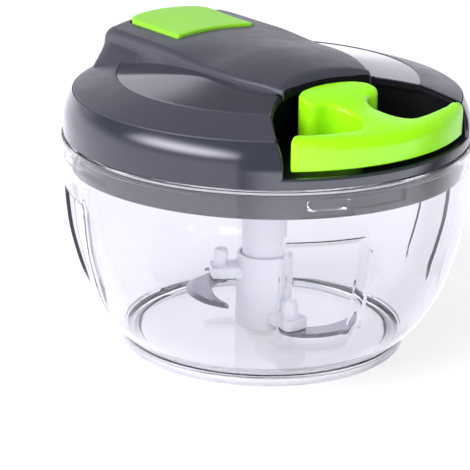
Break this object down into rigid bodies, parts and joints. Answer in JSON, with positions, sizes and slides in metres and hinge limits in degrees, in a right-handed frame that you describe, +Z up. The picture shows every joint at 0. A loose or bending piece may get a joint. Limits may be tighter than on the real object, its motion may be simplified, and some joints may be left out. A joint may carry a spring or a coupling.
{
  "type": "pull cord food chopper",
  "caption": "Hand held food chopper: clear round bowl with a locking lid, a docked lime pull handle on a cord, a vent button and curved steel blades on a white hub.",
  "frame": {"origin": "Middle of the foot, on the surface that the chopper stands on.", "axes": "+Z up along the bowl's axis; the pull handle docks on the -Y side and the release button is on the +Y side; +X is to the right as seen from the handle."},
  "size_m": [0.13, 0.13, 0.0967],
  "materials": {
    "clear_plastic": "clear, polished",
    "foot_rubber": "translucent, satin",
    "matte_grey": "fine matte",
    "gloss_grey": "polished",
    "lime_plastic": "satin gloss",
    "white_plastic": "satin",
    "inner_plastic": "moulded",
    "steel": "brushed",
    "seal_silicone": "soft matte",
    "cord_fibre": "braided"
  },
  "bodies": {
    "bowl": {"bowl": "clear_plastic", "non_slip_foot": "foot_rubber", "centre_pin": "steel"},
    "blade_unit": {"blade_hub": "white_plastic", "blade_lower": "steel", "blade_middle": "steel", "blade_upper": "steel", "blade_rivet_lower": "steel", "blade_rivet_middle": "steel", "blade_rivet_upper": "steel"},
    "seal": {"seal_ring": "seal_silicone"},
    "lid": {"lid_cover": "matte_grey", "lid_body": "gloss_grey", "base_plate": "inner_plastic", "cord_eyelet": "inner_plastic", "recoil_spring": "steel", "spring_cover": "inner_plastic", "shaft_bush": "inner_plastic", "spool_axle": "steel", "plate_screw_1": "steel", "plate_screw_2": "steel", "plate_screw_3": "steel", "plate_screw_4": "steel", "pull_cord": "cord_fibre", "button_spring": "steel"},
    "drive": {"drive_cup": "inner_plastic", "drive_shaft": "white_plastic", "retaining_clip": "steel"},
    "spool": {"cord_spool": "inner_plastic", "cord_winding": "cord_fibre"},
    "pawl_1": {"pawl_1": "steel"},
    "pawl_2": {"pawl_2": "steel"},
    "button": {"release_button": "lime_plastic", "vent_stem": "white_plastic", "vent_seal": "seal_silicone"},
    "handle": {"pull_handle": "lime_plastic", "cord_ferrule": "steel"}
  },
  "joints": [
    {"name": "lid_lift", "type": "slide", "parent": "bowl", "child": "seal", "axis": [0, 0, 1], "range_m": [0, 0.12]},
    {"name": "lid_twist", "type": "hinge", "parent": "seal", "child": "lid", "pos_m": [0, 0, 0.068], "axis": [0, 0, -1], "range_deg": [0, 17]},
    {"name": "handle_pull", "type": "slide", "parent": "lid", "child": "handle", "axis": [0, -1, 0], "range_m": [0, 0.3], "stiffness_N_per_m": 6, "springref_m": -0.3, "deforming": ["pull_cord"]},
    {"name": "spool_spin", "type": "hinge", "parent": "lid", "child": "spool", "pos_m": [0, 0, 0.082], "axis": [0, 0, -1], "range_deg": [0, 1075]},
    {"name": "drive_spin", "type": "hinge", "parent": "lid", "child": "drive", "pos_m": [0, 0, 0.075], "axis": [0, 0, -1], "continuous": true},
    {"name": "blade_spin", "type": "hinge", "parent": "bowl", "child": "blade_unit", "pos_m": [0, 0, 0.01], "axis": [0, 0, -1], "continuous": true},
    {"name": "pawl_1_swing", "type": "hinge", "parent": "spool", "child": "pawl_1", "pos_m": [0.0075, 0, 0.0775], "axis": [0, 0, -1], "range_deg": [0, 12]},
    {"name": "pawl_2_swing", "type": "hinge", "parent": "spool", "child": "pawl_2", "pos_m": [-0.0075, 0, 0.0775], "axis": [0, 0, -1], "range_deg": [0, 12]},
    {"name": "button_press", "type": "slide", "parent": "lid", "child": "button", "axis": [0, 0, -1], "range_m": [0, 0.0025], "stiffness_N_per_m": 400, "springref_m": -0.004, "deforming": ["button_spring"]}
  ],
  "couplings": [
    {"joint": "spool_spin", "follows": "handle_pull", "rad_per_m": 62.5},
    {"joint": "drive_spin", "follows": "handle_pull", "rad_per_m": 62.5},
    {"joint": "blade_spin", "follows": "handle_pull", "rad_per_m": 62.5}
  ]
}
